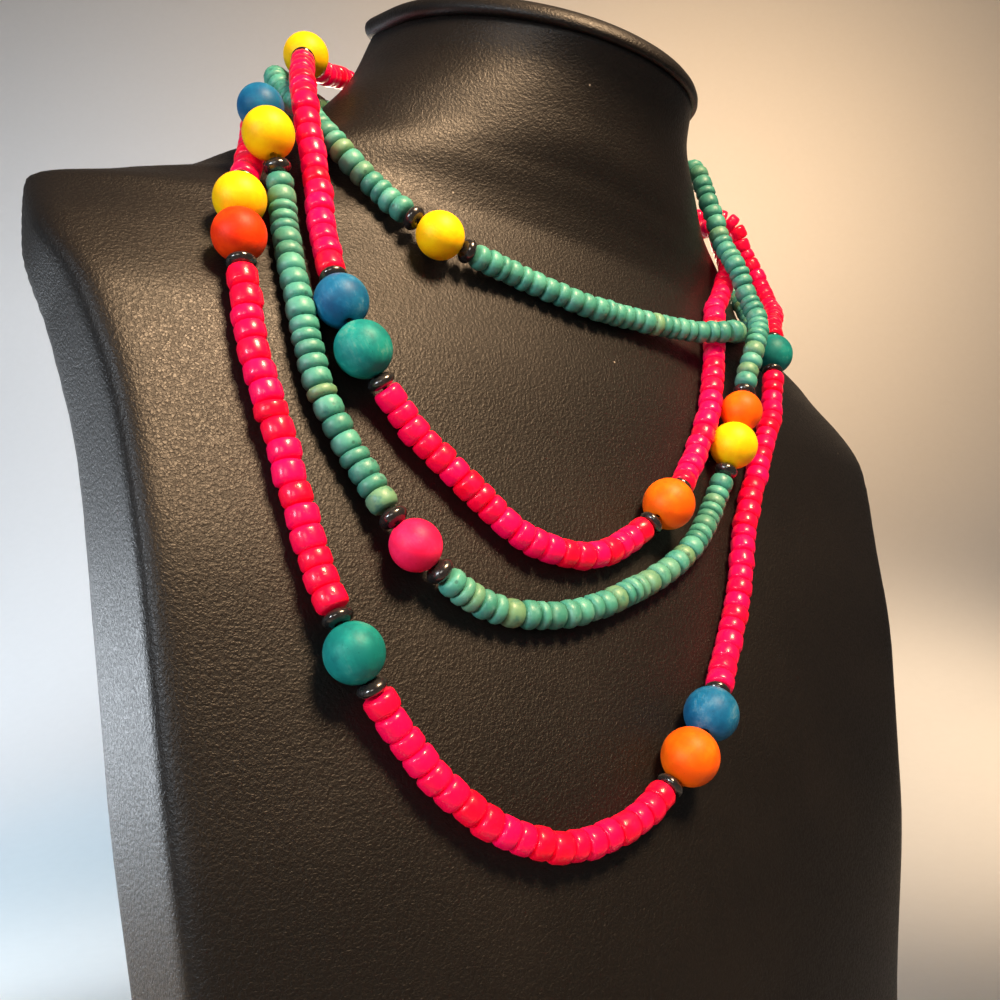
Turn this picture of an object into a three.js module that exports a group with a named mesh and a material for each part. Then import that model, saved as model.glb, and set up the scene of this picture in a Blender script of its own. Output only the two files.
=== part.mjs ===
// A four-row beaded necklace on the plain neck bust that displays it.
//
// Millimetres, +Z up. The bust faces -Y and stands on its flat base at z = 0. Every length of
// the bust is measured from the plane of its flat back; the whole assembly is then moved so that
// the middle of its footprint is the origin.

import * as THREE from 'three';

// ---- Driving dimensions ---------------------------------------------------------------------

const gap = 0.3;                  // air between neighbouring pieces
const beadGap = 0.6;              // air between big beads, whose rims lean together on a bend
const backPlane = 20.1;           // y of the bust's flat back, which centres the footprint
const bigBead = { squatness: 0.95, bore: 1.6 };   // length over width, and the bore's rim
const pinkBead = { radius: 3.2, length: 4.2, waist: 2.6 };
const turquoiseBead = { radius: 2.9, length: 3.5, waist: 2.3 };
const flatSpacer = { radius: 3.1, length: 2.2, bore: 1.6 };
const roundSpacer = { radius: 2.7, length: 3, bore: 1.2 };
const clasp = { width: 7, thickness: 4, height: 30, lean: THREE.MathUtils.degToRad(13) };

// The bust, section by section: half its width, how far its front and the front edge of its side
// walls stand off the back plane, how far the neck bulges behind that plane, and how flatly the
// front is crowned (1 is an ellipse).
const bustSections = [
  { height: 0, half: 85, front: 58, edge: 30, bulge: 0, crown: 1.6 },
  { height: 80, half: 95, front: 55, edge: 37, bulge: 0, crown: 1.6 },
  { height: 130, half: 105, front: 52, edge: 41, bulge: 0, crown: 1.6 },
  { height: 172, half: 112, front: 47, edge: 41, bulge: 0, crown: 1.6 },
  { height: 206, half: 118, front: 43, edge: 37, bulge: 0, crown: 1.6 },
  { height: 232, half: 126, front: 41.5, edge: 31, bulge: 0, crown: 1.6 },
  { height: 251, half: 133, front: 39, edge: 19, bulge: 0, crown: 1.6 },
  { height: 266, half: 134, front: 37.5, edge: 7, bulge: 0, crown: 1.6 },
  { height: 275, half: 120, front: 37, edge: 2, bulge: 2, crown: 1.5 },
  { height: 282, half: 103, front: 39, edge: 1.5, bulge: 4.5, crown: 1.4 },
  { height: 290, half: 92, front: 43, edge: 1.5, bulge: 7, crown: 1.3 },
  { height: 301, half: 74, front: 48, edge: 2, bulge: 10.5, crown: 1.15 },
  { height: 314, half: 64, front: 52, edge: 4, bulge: 13.5, crown: 1.05 },
  { height: 328, half: 54, front: 57, edge: 6, bulge: 16, crown: 1 },
  { height: 344, half: 47, front: 64, edge: 14, bulge: 15, crown: 1 },
];

// The neck's top is cut on a slant, lower at the front. The slant grows from nothing at the foot
// of the neck and pivots about a line a little in front of the back plane.
const slant = { from: 292, to: 344, slope: 0.52, pivot: 14.5 };

// The rolled lip that closes the neck, ring by ring: rise above the cut and spread past it.
const lipProfile = [
  { rise: 0.3, spread: -1.5 },
  { rise: 0.3, spread: 0.6 },
  { rise: 1.8, spread: 2 },
  { rise: 4.6, spread: 2 },
  { rise: 6.4, spread: 0.8 },
  { rise: 7, spread: -2 },
];

// Each row's thread, from the clasp at the nape round the left shoulder, over the chest and back
// round the right. A station lies on the bust at the place that across and height give, lifted
// where it passes over another row; one that states its depth behind the back plane hangs clear.
// A group of big beads is centred on its station, with a black spacer at each end.
const bead = (finish, width) => ({ finish, width });
const rows = [
  {
    name: 'upper_turquoise', bead: turquoiseBead, spacer: roundSpacer, color: 'turquoise',
    stations: [
      { across: -4, height: 331, behind: 20.5 },
      { across: -31, height: 330.5, behind: 18.5 },
      { across: -55, height: 329.5, behind: 13 },
      { across: -71.5, height: 326, behind: 4.5 },
      { across: -78.5, height: 318, behind: -5 },
      { across: -77, height: 307.6, behind: -11.8 },
      { across: -75.7, height: 297, behind: -21.4 },
      { across: -73.2, height: 286.4, behind: -28.6 },
      { across: -61.5, height: 271.5 },
      { across: -49.7, height: 260, group: [bead('yellow', 11.4)] },
      { across: -28, height: 257 },
      { across: -8, height: 254.5 },
      { across: 10, height: 255 },
      { across: 27, height: 255.5, lift: 2 },
      { across: 37, height: 257, behind: -44.9 },
      { across: 44, height: 258.3, behind: -46.9 },
      { across: 55.5, height: 264, behind: -39.4 },
      { across: 66.7, height: 269.8, behind: -34.8 },
      { across: 75.2, height: 275.8, behind: -29.6 },
      { across: 80.6, height: 287, behind: -23.1 },
      { across: 87, height: 299, behind: -11.6 },
      { across: 80, height: 310, behind: 5 },
      { across: 63.3, height: 320, behind: 16 },
      { across: 36, height: 326.5, behind: 21.8 },
      { across: 4, height: 331, behind: 20.5 },
    ],
  },
  {
    name: 'lower_turquoise', bead: turquoiseBead, spacer: roundSpacer, color: 'turquoise',
    stations: [
      { across: -4, height: 323.5, behind: 18.8 },
      { across: -30, height: 321.5, behind: 17.2 },
      { across: -54, height: 319, behind: 14 },
      { across: -72.5, height: 314.2, behind: 5.2 },
      { across: -85.5, height: 303.6, behind: -12.4 },
      { across: -91, height: 286.6, behind: -29.6 },
      { across: -91, height: 281.8, behind: -32.4, group: [bead('blue', 10.6), bead('yellow', 11.6)] },
      { across: -90.6, height: 276.6, behind: -34.2 },
      { across: -87.6, height: 268.5, behind: -33.2 },
      { across: -85.6, height: 254, lift: 0.2 },
      { across: -84.5, height: 233.5 },
      { across: -80.5, height: 214 },
      { across: -72, height: 197.5 },
      { across: -62.7, height: 182, group: [bead('magenta', 10.6)] },
      { across: -46.5, height: 172 },
      { across: -27, height: 171 },
      { across: -4, height: 178.5 },
      { across: 17, height: 190.5 },
      { across: 30, height: 205 },
      { across: 40, height: 227, lift: 0.4, group: [bead('yellow', 12.8), bead('orange', 11.4)] },
      { across: 48.4, height: 244.5, behind: -46.4 },
      { across: 53.4, height: 256, behind: -47 },
      { across: 58.4, height: 265.3, behind: -45.2 },
      { across: 58.7, height: 275, behind: -42.3 },
      { across: 56.8, height: 285.5, behind: -41 },
      { across: 56.3, height: 295.4, behind: -37.2 },
      { across: 54.7, height: 310.7, behind: -34.9 },
      { across: 54.2, height: 326, behind: -30.4 },
      { across: 61.3, height: 330, behind: -13 },
      { across: 53.5, height: 330.5, behind: 9.5 },
      { across: 28, height: 323.3, behind: 16.8 },
      { across: 4, height: 323.5, behind: 18.8 },
    ],
  },
  {
    name: 'upper_pink', bead: pinkBead, spacer: flatSpacer, color: 'pink',
    stations: [
      { across: -4, height: 338.5, behind: 22.5 },
      { across: -28, height: 342, behind: 20 },
      { across: -48.5, height: 343, behind: 12.5 },
      { across: -61, height: 334, behind: 3.5 },
      { across: -71.8, height: 325.5, behind: -9, group: [bead('yellow', 12)] },
      { across: -77, height: 310, behind: -19.3 },
      { across: -80, height: 294, behind: -28.7 },
      { across: -79.6, height: 282, behind: -31.3 },
      { across: -77.4, height: 268, lift: 1.8 },
      { across: -77.2, height: 250, lift: 0.4 },
      { across: -75, height: 228.6, lift: 0.4, group: [bead('blue', 11.6), bead('teal', 12.2)] },
      { across: -62, height: 211 },
      { across: -47.7, height: 198 },
      { across: -33, height: 187 },
      { across: -16, height: 185.5 },
      { across: -2, height: 191.5 },
      { across: 8.7, height: 200.5, group: [bead('orange', 12.8)] },
      { across: 22, height: 213.5 },
      { across: 32, height: 229.5 },
      { across: 41, height: 249.5, lift: 0.5 },
      { across: 49, height: 270, behind: -37 },
      { across: 57.3, height: 282, behind: -34.7 },
      { across: 62.4, height: 290.8, behind: -33.2 },
      { across: 67.3, height: 302.6, behind: -27.6 },
      { across: 71.3, height: 314.3, behind: -22 },
      { across: 73.8, height: 319.5, behind: -11 },
      { across: 72.5, height: 323.3, behind: 4 },
      { across: 55, height: 330.8, behind: 17 },
      { across: 28.8, height: 334.8, behind: 21.6 },
      { across: 4, height: 338.5, behind: 22.5 },
    ],
  },
  {
    name: 'lower_pink', bead: pinkBead, spacer: flatSpacer, color: 'pink',
    stations: [
      { across: -4, height: 315.5, behind: 17 },
      { across: -30, height: 311, behind: 16 },
      { across: -54, height: 306.8, behind: 12.3 },
      { across: -73, height: 304, behind: 6 },
      { across: -80.8, height: 301.6, behind: -3.5 },
      { across: -87, height: 293, behind: -14.6 },
      { across: -89.8, height: 281, behind: -21.4 },
      { across: -92.8, height: 270.8, behind: -27.4 },
      { across: -95.8, height: 251, lift: 0.2, group: [bead('yellow', 11.4), bead('orangeRed', 11.4)] },
      { across: -94.6, height: 223 },
      { across: -88.5, height: 199 },
      { across: -82.5, height: 177 },
      { across: -76.4, height: 160.5, group: [bead('teal', 11.4)] },
      { across: -67, height: 147 },
      { across: -54, height: 133 },
      { across: -35.5, height: 125 },
      { across: -17, height: 127.5 },
      { across: -5, height: 134 },
      { across: 5, height: 145, lift: 0.9, group: [bead('orange', 12.8), bead('blue', 12.4)] },
      { across: 21.5, height: 162.5 },
      { across: 32, height: 180 },
      { across: 39.7, height: 198 },
      { across: 51, height: 218.5 },
      { across: 64, height: 238.5 },
      { across: 71.8, height: 260, lift: 0.2, group: [bead('teal', 12.4)] },
      { across: 82.6, height: 276.3, behind: -32.3 },
      { across: 91.2, height: 285, behind: -26.9 },
      { across: 96.6, height: 293.8, behind: -21.2 },
      { across: 97.8, height: 303.6, behind: -17.7 },
      { across: 94, height: 314.3, behind: -16.2 },
      { across: 86, height: 325, behind: -16.4 },
      { across: 68, height: 327.5, behind: 0.5 },
      { across: 41, height: 318.5, behind: 17 },
      { across: 4, height: 315.5, behind: 17 },
    ],
  },
];

const finishes = {
  pink: { color: '#e8053f', roughness: 0.35 },
  turquoise: { color: '#3d8f85', roughness: 0.55 },
  yellow: { color: '#f3be0d', roughness: 0.5 },
  orange: { color: '#f0690c', roughness: 0.5 },
  orangeRed: { color: '#ee4414', roughness: 0.5 },
  blue: { color: '#1b5f94', roughness: 0.5 },
  teal: { color: '#148577', roughness: 0.5 },
  magenta: { color: '#ee2c74', roughness: 0.5 },
  black: { color: '#0b0b0c', roughness: 0.2 },
  leatherette: { color: '#1c1a19', roughness: 0.6 },
  metal: { color: '#b9b4a8', roughness: 0.3, metalness: 1 },
};

const assembly = new THREE.Group();
assembly.position.y = backPlane;

function addPiece(name, geometry, finish) {
  const mesh = new THREE.Mesh(geometry, new THREE.MeshStandardMaterial(finishes[finish]));
  mesh.name = name;
  assembly.add(mesh);
  return mesh;
}

// ---- Skins over rings -----------------------------------------------------------------------

// A closed solid over a stack of rings that all have the same number of points, each ring
// running anticlockwise as seen from the far end of the stack.
function skin(rings) {
  const count = rings[0].length;
  const middle = (ring) => ring.reduce((sum, p) => sum.add(p), new THREE.Vector3())
    .divideScalar(count);
  const points = [...rings.flat(), middle(rings[0]), middle(rings.at(-1))];
  const startMiddle = points.length - 2;
  const endMiddle = points.length - 1;
  const lastRing = (rings.length - 1) * count;
  const faces = [];
  for (let i = 0; i < count; i += 1) {
    const next = (i + 1) % count;
    faces.push(startMiddle, next, i, endMiddle, lastRing + i, lastRing + next);
    for (let ring = 0; ring < lastRing; ring += count) {
      faces.push(ring + i, ring + next, ring + count + i);
      faces.push(ring + next, ring + count + next, ring + count + i);
    }
  }
  const geometry = new THREE.BufferGeometry().setFromPoints(points);
  geometry.setIndex(faces);
  return geometry;
}

// ---- The bust -------------------------------------------------------------------------------

// A smooth value between the rows of the section table that never overshoots them.
function bustValue(key, height) {
  const rowsAbove = bustSections.findIndex((section) => section.height > height);
  const upper = rowsAbove < 0 ? bustSections.length - 1 : rowsAbove;
  const slopeOf = (i) => (bustSections[i + 1][key] - bustSections[i][key])
    / (bustSections[i + 1].height - bustSections[i].height);
  const tangentAt = (i) => {
    if (i === 0) return slopeOf(0);
    if (i === bustSections.length - 1) return slopeOf(i - 1);
    const below = slopeOf(i - 1);
    const above = slopeOf(i);
    return below * above <= 0 ? 0 : 2 * below * above / (below + above);
  };
  const a = bustSections[upper - 1];
  const b = bustSections[upper];
  const span = b.height - a.height;
  const t = (height - a.height) / span;
  return a[key] * (1 + 2 * t) * (1 - t) ** 2 + b[key] * t * t * (3 - 2 * t)
    + span * t * (1 - t) * (tangentAt(upper - 1) * (1 - t) - tangentAt(upper) * t);
}

function bustAt(height) {
  const value = (key) => bustValue(key, height);
  return {
    half: value('half'), front: value('front'), edge: value('edge'),
    bulge: value('bulge'), crown: value('crown'),
  };
}

// One outline of the bust: up the left wall, across the crowned front and down the right wall,
// then back along the flat or bulging back.
function bustOutline(height, frontSteps = 24, backSteps = 8) {
  const { half, front, edge, bulge, crown } = bustAt(height);
  const { from, to, slope, pivot } = slant;
  const share = THREE.MathUtils.clamp((height - from) / (to - from), 0, 1);
  const point = (x, y) => new THREE.Vector3(x, y, height + share * slope * (y + pivot));
  const outline = [];
  for (let i = 0; i <= frontSteps; i += 1) {
    const turn = Math.PI * i / frontSteps;
    outline.push(point(-half * Math.cos(turn), -edge - (front - edge) * Math.sin(turn) ** crown));
  }
  for (let i = 0; i <= backSteps; i += 1) {
    const turn = Math.PI * i / backSteps;
    outline.push(point(half * Math.cos(turn), bulge * Math.sin(turn)));
  }
  return outline;
}

function buildBust() {
  const heights = bustSections.flatMap(({ height }, i) => {
    const below = i > 0 ? bustSections[i - 1].height : height;
    return i > 0 ? [(below + height) / 2, height] : [height];
  });
  addPiece('bust_body', skin(heights.map((height) => bustOutline(height))), 'leatherette');

  const cut = bustOutline(slant.to);
  const centre = cut.reduce((sum, p) => sum.add(p), new THREE.Vector3()).divideScalar(cut.length);
  const lipRings = lipProfile.map(({ rise, spread }) => cut.map((p) => {
    const outward = p.clone().sub(centre).normalize();
    return p.clone().addScaledVector(outward, spread).add(new THREE.Vector3(0, 0, rise));
  }));
  addPiece('neck_lip', skin(lipRings), 'leatherette');
}

// A place on the bust's front, and the direction that points straight off it there.
function bustFront(across, height) {
  const { half, front, edge, crown } = bustAt(height);
  const rise = Math.sqrt(Math.max(0, 1 - (across / half) ** 2)) ** crown;
  return new THREE.Vector3(across, -edge - (front - edge) * rise, height);
}

function bustNormal(across, height) {
  const step = 0.5;
  const sideways = bustFront(across + step, height).sub(bustFront(across - step, height));
  const upwards = bustFront(across, height + step).sub(bustFront(across, height - step));
  return sideways.cross(upwards).normalize();
}

// ---- Beads ----------------------------------------------------------------------------------

// A turned bead about the Y axis: a rounded side between two flat faces as wide as its bore's
// rim. The thread fills the bore.
function turnedBead({ radius, length, bore }, steps, sides) {
  const squeeze = Math.sqrt(1 - (bore / radius) ** 2);
  const profile = [new THREE.Vector2(0, -length / 2)];
  for (let i = 0; i <= steps; i += 1) {
    const along = (2 * i / steps - 1) * squeeze;
    profile.push(new THREE.Vector2(
      radius * Math.sqrt(1 - along ** 2), along / squeeze * length / 2,
    ));
  }
  profile.push(new THREE.Vector2(0, length / 2));
  return new THREE.LatheGeometry(profile, sides);
}

// Small beads that touch, as one solid along their thread: a ring at each waist between two
// beads and a wider one round each bead's middle.
function beadRun(thread, start, end, { radius, length, waist }, sides = 6) {
  const count = Math.max(1, Math.round((end - start) / length));
  const total = thread.getLength();
  const normal = new THREE.Vector3(0, 0, 1);
  const rings = [];
  for (let i = 0; i <= 2 * count; i += 1) {
    const at = (start + (end - start) * i / (2 * count)) / total;
    const centre = thread.getPointAt(at);
    const along = thread.getTangentAt(at);
    normal.addScaledVector(along, -normal.dot(along)).normalize();
    const side = along.clone().cross(normal);
    const reach = i % 2 ? radius : waist;
    rings.push(Array.from({ length: sides }, (_, k) => {
      const turn = 2 * Math.PI * k / sides;
      return centre.clone().addScaledVector(normal, reach * Math.cos(turn))
        .addScaledVector(side, reach * Math.sin(turn));
    }));
  }
  return skin(rings);
}

// ---- The rows -------------------------------------------------------------------------------

function threadOf(row) {
  const points = row.stations.map(({ across, height, behind, lift = 0, group }) => {
    if (behind !== undefined) return new THREE.Vector3(across, behind, height);
    const widest = group ? Math.max(...group.map(({ width }) => width)) / 2 : row.bead.radius;
    const clear = gap + lift + widest;
    return bustFront(across, height).addScaledVector(bustNormal(across, height), clear);
  });
  const thread = new THREE.CatmullRomCurve3(points, false, 'centripetal');
  thread.arcLengthDivisions = 2400;
  return thread;
}

function placeOnThread(mesh, thread, at) {
  const share = at / thread.getLength();
  mesh.position.copy(thread.getPointAt(share));
  mesh.quaternion.setFromUnitVectors(new THREE.Vector3(0, 1, 0), thread.getTangentAt(share));
}

function buildRow(row) {
  const thread = threadOf(row);
  const { stations, spacer } = row;
  const divisions = thread.arcLengthDivisions;
  const lengths = thread.getLengths(divisions);
  const stationAt = (i) => lengths[Math.round(i / (stations.length - 1) * divisions)];
  const runs = [];
  let runStart = 0;

  let groups = 0;
  stations.forEach(({ group }, i) => {
    if (!group) return;
    groups += 1;
    const black = { finish: 'black', size: spacer };
    const big = group.map(({ finish, width }) => ({
      finish, size: { radius: width / 2, length: width * bigBead.squatness, bore: bigBead.bore },
    }));
    const pieces = [black, ...big, black];
    const whole = pieces.reduce((sum, { size }) => sum + size.length + beadGap, -beadGap);
    let at = stationAt(i) - whole / 2;
    runs.push([runStart, at - beadGap]);
    pieces.forEach(({ finish, size }, k) => {
      const isSpacer = finish === 'black';
      const label = isSpacer ? `spacer_${k ? 'after' : 'before'}` : `bead_${finish}`;
      const geometry = isSpacer ? turnedBead(size, 3, 8) : turnedBead(size, 6, 12);
      const mesh = addPiece(`${row.name}_${groups}_${label}`, geometry, finish);
      placeOnThread(mesh, thread, at + size.length / 2);
      at += size.length + beadGap;
    });
    runStart = at;
  });
  runs.push([runStart, thread.getLength()]);
  runs.forEach(([start, end], i) => {
    addPiece(`${row.name}_run_${i + 1}`, beadRun(thread, start, end, row.bead), row.color);
  });
}

// ---- The clasp ------------------------------------------------------------------------------

// One plain bar behind the neck, which the ends of all four rows meet from both sides.
function buildClasp() {
  const { width, thickness, height, lean } = clasp;
  const corner = 1.5;
  const bar = new THREE.Shape();
  bar.absarc(width / 2 - corner, height / 2 - corner, corner, 0, Math.PI / 2);
  bar.absarc(corner - width / 2, height / 2 - corner, corner, Math.PI / 2, Math.PI);
  bar.absarc(corner - width / 2, corner - height / 2, corner, Math.PI, 1.5 * Math.PI);
  bar.absarc(width / 2 - corner, corner - height / 2, corner, 1.5 * Math.PI, 2 * Math.PI);
  const solid = new THREE.ExtrudeGeometry(bar, {
    depth: thickness, bevelEnabled: false, curveSegments: 3,
  });
  solid.translate(0, 0, -thickness / 2);
  const mesh = addPiece('clasp', solid, 'metal');
  mesh.position.set(0, 19.8, 327);
  mesh.rotation.x = Math.PI / 2 - lean;
}

buildBust();
rows.forEach(buildRow);
buildClasp();

export default assembly;
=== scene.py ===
# %% [markdown]
# # A four-row beaded necklace on its display bust
#
# Four rows of small beads, two pink and two turquoise, hang over a neck bust covered in black
# leatherette. Here and there a group of big painted wooden beads sits between two polished black
# spacers. The beads do all the talking, so most of the work is in giving hundreds of them their
# own length, tilt and shade, and in a leatherette that catches the light as a pebbled skin does.
#
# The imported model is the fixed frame: it says where everything is. Each of its plain solids gets
# a finer piece in its place.

# %% Load the frame
import math
import random

import bmesh
import bpy
import numpy as np
from mathutils import Matrix, Quaternion, Vector


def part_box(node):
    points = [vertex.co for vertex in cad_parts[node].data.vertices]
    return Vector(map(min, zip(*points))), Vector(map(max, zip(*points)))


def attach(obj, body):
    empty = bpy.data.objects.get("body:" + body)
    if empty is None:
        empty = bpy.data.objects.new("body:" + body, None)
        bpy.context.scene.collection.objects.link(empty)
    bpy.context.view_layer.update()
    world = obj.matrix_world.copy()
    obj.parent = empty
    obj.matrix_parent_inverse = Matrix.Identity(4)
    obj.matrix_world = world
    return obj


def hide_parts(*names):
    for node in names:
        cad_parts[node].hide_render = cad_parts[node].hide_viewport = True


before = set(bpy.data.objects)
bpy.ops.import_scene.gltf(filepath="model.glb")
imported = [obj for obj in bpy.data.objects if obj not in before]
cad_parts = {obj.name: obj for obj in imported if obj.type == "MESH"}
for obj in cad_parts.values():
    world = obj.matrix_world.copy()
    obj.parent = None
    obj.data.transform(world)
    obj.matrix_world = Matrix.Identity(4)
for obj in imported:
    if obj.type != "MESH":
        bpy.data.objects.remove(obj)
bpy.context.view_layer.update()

MM = 0.001

# %% [markdown]
# ## The camera
#
# The necklace is seen from low down, close to the side of the chest that is on the viewer's left,
# looking up at the neck, through a lens a little wider than a normal one. A camera looks along its
# own -Z, so it is aimed with `to_track_quat` and then turned a little about its own axis. Blender's
# usual view transform softens strong colours, as film does, and these beads are as strong as
# colours get, so the scene is shown through the plain Standard one.

# %% The camera
camera_yaw, camera_pitch, camera_roll = 0.625, 0.283, -0.034
aim = Vector((math.sin(camera_yaw) * math.cos(camera_pitch),
              math.cos(camera_yaw) * math.cos(camera_pitch), math.sin(camera_pitch)))
camera = bpy.data.objects.new("camera", bpy.data.cameras.new("camera"))
camera.data.lens, camera.data.sensor_width = 33.72, 36
camera.data.clip_start = 0.01
camera.location = (-0.1544, -0.1854, 0.1392)
camera.rotation_mode = "QUATERNION"
camera.rotation_quaternion = aim.to_track_quat("-Z", "Y") @ Quaternion((0, 0, 1), camera_roll)
bpy.context.collection.objects.link(camera)
bpy.context.scene.camera = camera
bpy.context.scene.view_settings.view_transform = "Standard"
print("camera", [round(v, 3) for v in camera.location], "looks along", [round(v, 2) for v in aim])

# %% [markdown]
# ## Where the threads run
#
# Each bead sits on a thread, square to it, and a row's thread is a curve through stations. Where a
# row lies on the chest, a station needs only a place across and a height, and the bust's own shape
# gives the depth. Where a row hangs clear, behind the neck or over another row, the station says
# its depth too. These are the tables of the model itself, in millimetres, so that the fine beads
# land exactly where its solids are.

# %% The bust's sections and the rows' stations
bust_sections = [  # height, half width, front, front edge of the wall, bulge of the back, crown
    (0, 85, 58, 30, 0, 1.6), (80, 95, 55, 37, 0, 1.6), (130, 105, 52, 41, 0, 1.6),
    (172, 112, 47, 41, 0, 1.6), (206, 118, 43, 37, 0, 1.6), (232, 126, 41.5, 31, 0, 1.6),
    (251, 133, 39, 19, 0, 1.6), (266, 134, 37.5, 7, 0, 1.6), (275, 120, 37, 2, 2, 1.5),
    (282, 103, 39, 1.5, 4.5, 1.4), (290, 92, 43, 1.5, 7, 1.3), (301, 74, 48, 2, 10.5, 1.15),
    (314, 64, 52, 4, 13.5, 1.05), (328, 54, 57, 6, 16, 1), (344, 47, 64, 14, 15, 1),
]
back_plane = 20.1        # how far the bust's flat back stands behind the middle of the whole
air = 0.3                # between a piece and what it lies on
bead_air = 0.6           # between big beads

def on(across, height, lift=0, group=()):
    return {"across": across, "height": height, "lift": lift, "group": group}

def clear(across, height, behind, group=()):
    return {"across": across, "height": height, "behind": behind, "group": group}

rows = {
    "upper_turquoise": [
        clear(-4, 331, 20.5), clear(-31, 330.5, 18.5), clear(-55, 329.5, 13), clear(-71.5, 326, 4.5),
        clear(-78.5, 318, -5), clear(-77, 307.6, -11.8), clear(-75.7, 297, -21.4),
        clear(-73.2, 286.4, -28.6), on(-61.5, 271.5), on(-49.7, 260, 0, [("yellow", 11.4)]), on(-28, 257),
        on(-8, 254.5), on(10, 255), on(27, 255.5, 2), clear(37, 257, -44.9), clear(44, 258.3, -46.9),
        clear(55.5, 264, -39.4), clear(66.7, 269.8, -34.8), clear(75.2, 275.8, -29.6),
        clear(80.6, 287, -23.1), clear(87, 299, -11.6), clear(80, 310, 5), clear(63.3, 320, 16),
        clear(36, 326.5, 21.8), clear(4, 331, 20.5),
    ],
    "lower_turquoise": [
        clear(-4, 323.5, 18.8), clear(-30, 321.5, 17.2), clear(-54, 319, 14), clear(-72.5, 314.2, 5.2),
        clear(-85.5, 303.6, -12.4), clear(-91, 286.6, -29.6),
        clear(-91, 281.8, -32.4, [("blue", 10.6), ("yellow", 11.6)]), clear(-90.6, 276.6, -34.2),
        clear(-87.6, 268.5, -33.2), on(-85.6, 254, 0.2), on(-84.5, 233.5), on(-80.5, 214), on(-72, 197.5),
        on(-62.7, 182, 0, [("magenta", 10.6)]), on(-46.5, 172), on(-27, 171), on(-4, 178.5),
        on(17, 190.5), on(30, 205), on(40, 227, 0.4, [("yellow", 12.8), ("orange", 11.4)]),
        clear(48.4, 244.5, -46.4), clear(53.4, 256, -47), clear(58.4, 265.3, -45.2),
        clear(58.7, 275, -42.3), clear(56.8, 285.5, -41), clear(56.3, 295.4, -37.2),
        clear(54.7, 310.7, -34.9), clear(54.2, 326, -30.4), clear(61.3, 330, -13),
        clear(53.5, 330.5, 9.5), clear(28, 323.3, 16.8), clear(4, 323.5, 18.8),
    ],
    "upper_pink": [
        clear(-4, 338.5, 22.5), clear(-28, 342, 20), clear(-48.5, 343, 12.5), clear(-61, 334, 3.5),
        clear(-71.8, 325.5, -9, [("yellow", 12)]), clear(-77, 310, -19.3), clear(-80, 294, -28.7),
        clear(-79.6, 282, -31.3), on(-77.4, 268, 1.8), on(-77.2, 250, 0.4),
        on(-75, 228.6, 0.4, [("blue", 11.6), ("teal", 12.2)]), on(-62, 211), on(-47.7, 198), on(-33, 187),
        on(-16, 185.5), on(-2, 191.5), on(8.7, 200.5, 0, [("orange", 12.8)]), on(22, 213.5),
        on(32, 229.5), on(41, 249.5, 0.5), clear(49, 270, -37), clear(57.3, 282, -34.7),
        clear(62.4, 290.8, -33.2), clear(67.3, 302.6, -27.6), clear(71.3, 314.3, -22),
        clear(73.8, 319.5, -11), clear(72.5, 323.3, 4), clear(55, 330.8, 17), clear(28.8, 334.8, 21.6),
        clear(4, 338.5, 22.5),
    ],
    "lower_pink": [
        clear(-4, 315.5, 17), clear(-30, 311, 16), clear(-54, 306.8, 12.3), clear(-73, 304, 6),
        clear(-80.8, 301.6, -3.5), clear(-87, 293, -14.6), clear(-89.8, 281, -21.4),
        clear(-92.8, 270.8, -27.4), on(-95.8, 251, 0.2, [("yellow", 11.4), ("orangeRed", 11.4)]),
        on(-94.6, 223), on(-88.5, 199), on(-82.5, 177), on(-76.4, 160.5, 0, [("teal", 11.4)]),
        on(-67, 147), on(-54, 133), on(-35.5, 125), on(-17, 127.5), on(-5, 134),
        on(5, 145, 0.9, [("orange", 12.8), ("blue", 12.4)]), on(21.5, 162.5), on(32, 180), on(39.7, 198),
        on(51, 218.5), on(64, 238.5), on(71.8, 260, 0.2, [("teal", 12.4)]), clear(82.6, 276.3, -32.3),
        clear(91.2, 285, -26.9), clear(96.6, 293.8, -21.2), clear(97.8, 303.6, -17.7),
        clear(94, 314.3, -16.2), clear(86, 325, -16.4), clear(68, 327.5, 0.5), clear(41, 318.5, 17),
        clear(4, 315.5, 17),
    ],
}
small_bead = {"turquoise": {"radius": 2.9, "length": 3.5}, "pink": {"radius": 3.2, "length": 4.2}}
spacer = {"turquoise": {"radius": 2.7, "length": 3.0, "bore": 1.2},
          "pink": {"radius": 3.1, "length": 2.2, "bore": 1.6}}
print({name: len(stations) for name, stations in rows.items()}, "stations")

# %% [markdown]
# ## The bust's surface
#
# Between two sections every value follows a smooth curve that never overshoots, so the shoulder
# stays crisp and the chest stays flat. From the sections come a point on the front of the bust
# and the direction straight off it, which is what a bead needs to lie on the leatherette.

# %% A point on the bust
heights, *columns = (np.array(column, float) for column in zip(*bust_sections))

def monotone_slopes(column):
    slope = np.diff(column) / np.diff(heights)
    inner = [0 if a * b <= 0 else 2 * a * b / (a + b) for a, b in zip(slope, slope[1:])]
    return [slope[0], *inner, slope[-1]]

slopes = [monotone_slopes(column) for column in columns]

def bust_at(height):
    """Half width, front, wall edge, bulge and crown at a height."""
    i = int(np.clip(np.searchsorted(heights, height, side="right"), 1, len(heights) - 1))
    span = heights[i] - heights[i - 1]
    t = (height - heights[i - 1]) / span
    return [
        c[i - 1] * (1 + 2 * t) * (1 - t) ** 2 + c[i] * t * t * (3 - 2 * t)
        + span * t * (1 - t) * (m[i - 1] * (1 - t) - m[i] * t)
        for c, m in zip(columns, slopes)
    ]

def bust_front(across, height):
    half, front, edge, _, crown = bust_at(height)
    rise = math.sqrt(max(0, 1 - (across / half) ** 2)) ** crown
    return Vector((across, back_plane - edge - (front - edge) * rise, height))

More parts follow.
